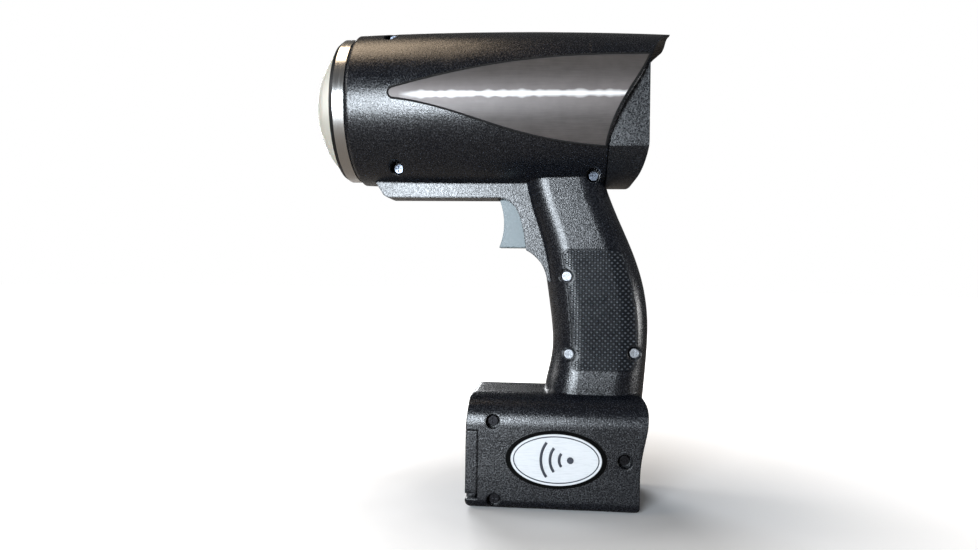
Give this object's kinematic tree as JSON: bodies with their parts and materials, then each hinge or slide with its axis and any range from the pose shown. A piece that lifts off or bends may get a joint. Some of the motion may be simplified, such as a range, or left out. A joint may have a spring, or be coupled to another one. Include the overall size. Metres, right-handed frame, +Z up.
{
  "type": "handheld radar speed gun",
  "caption": "Handheld Doppler radar gun for timing pitched balls: lens and horn in a barrel, trigger grip, battery box foot with a hinged door, rear display under a hood.",
  "frame": {"origin": "middle of the flat base of the battery box", "axes": "+Z up through the grip to the barrel, -X towards the lens, -Y the gun's left side"},
  "size_m": [0.1863, 0.0826, 0.2461],
  "materials": {
    "case_plastic": "fine speckled texture, moulded",
    "pod_plastic": "fine speckled texture, moulded",
    "ring_metal": "turned and polished",
    "horn_metal": "spun, satin",
    "module_metal": "milled",
    "lens_plastic": "satin off-white",
    "black_rubber": "matt",
    "grip_rubber": "checkered, slightly shiny",
    "key_rubber": "satin",
    "trigger_plastic": "satin, smooth",
    "steel": "zinc plated",
    "spring_steel": "drawn wire",
    "circuit_board": "solder mask",
    "component_black": "moulded packages",
    "switch_plastic": "moulded",
    "plunger_plastic": "smooth",
    "window_plastic": "clear, hard coated",
    "lcd_face": "display face",
    "tray_plastic": "moulded",
    "cell_wrap": "shrink wrapped cells",
    "contact_metal": "nickel on brass",
    "jack_plastic": "moulded",
    "nut_metal": "plated",
    "wire_jacket": "insulated wire",
    "label_metal": "brushed look label",
    "badge_face": "printed, domed"
  },
  "bodies": {
    "housing": {"left_shell": "case_plastic", "right_shell": "case_plastic", "housing_screws": "steel", "lens_ring": "ring_metal", "horn_lens": "lens_plastic", "lens_gasket": "black_rubber", "horn_antenna": "horn_metal", "microwave_module": "module_metal", "module_screws": "steel", "main_board": "circuit_board", "board_components": "component_black", "board_screws": "steel", "rear_housing": "pod_plastic", "display_window": "window_plastic", "lcd_panel": "lcd_face", "display_board": "circuit_board", "keypad_mat": "key_rubber", "trigger_pin": "steel", "trigger_spring": "spring_steel", "trigger_switch": "switch_plastic", "battery_cells": "cell_wrap", "battery_tray": "tray_plastic", "battery_contacts": "contact_metal", "door_pin": "steel", "charge_jack": "jack_plastic", "jack_nut": "nut_metal", "wire_harness": "wire_jacket", "left_grip_pad": "grip_rubber", "right_grip_pad": "grip_rubber", "left_label": "label_metal", "right_label": "label_metal", "left_badge": "badge_face", "right_badge": "badge_face"},
    "trigger": {"trigger": "trigger_plastic"},
    "plunger": {"switch_plunger": "plunger_plastic"},
    "power_key": {"button_power": "key_rubber"},
    "mode_key": {"button_mode": "key_rubber"},
    "recall_key": {"button_recall": "key_rubber"},
    "door": {"battery_door": "case_plastic"}
  },
  "joints": [
    {"name": "trigger_pull", "type": "hinge", "parent": "housing", "child": "trigger", "pos_m": [-0.0235, 0, 0.163], "axis": [0, -1, 0], "range_deg": [0, 6], "stiffness_Nm_per_rad": 0.8, "deforming": ["trigger_spring"]},
    {"name": "plunger_travel", "type": "slide", "parent": "housing", "child": "plunger", "axis": [1, 0, 0], "range_m": [0, 0.0012]},
    {"name": "power_key_press", "type": "slide", "parent": "housing", "child": "power_key", "axis": [-1, 0, 0], "range_m": [0, 0.0008]},
    {"name": "mode_key_press", "type": "slide", "parent": "housing", "child": "mode_key", "axis": [-1, 0, 0], "range_m": [0, 0.0008]},
    {"name": "recall_key_press", "type": "slide", "parent": "housing", "child": "recall_key", "axis": [-1, 0, 0], "range_m": [0, 0.0008]},
    {"name": "door_swing", "type": "hinge", "parent": "housing", "child": "door", "pos_m": [-0.0411, 0, 0.0076], "axis": [0, -1, 0], "range_deg": [0, 90]}
  ],
  "couplings": [
    {"joint": "plunger_travel", "follows": "trigger_pull", "m_per_rad": 0.0112}
  ]
}
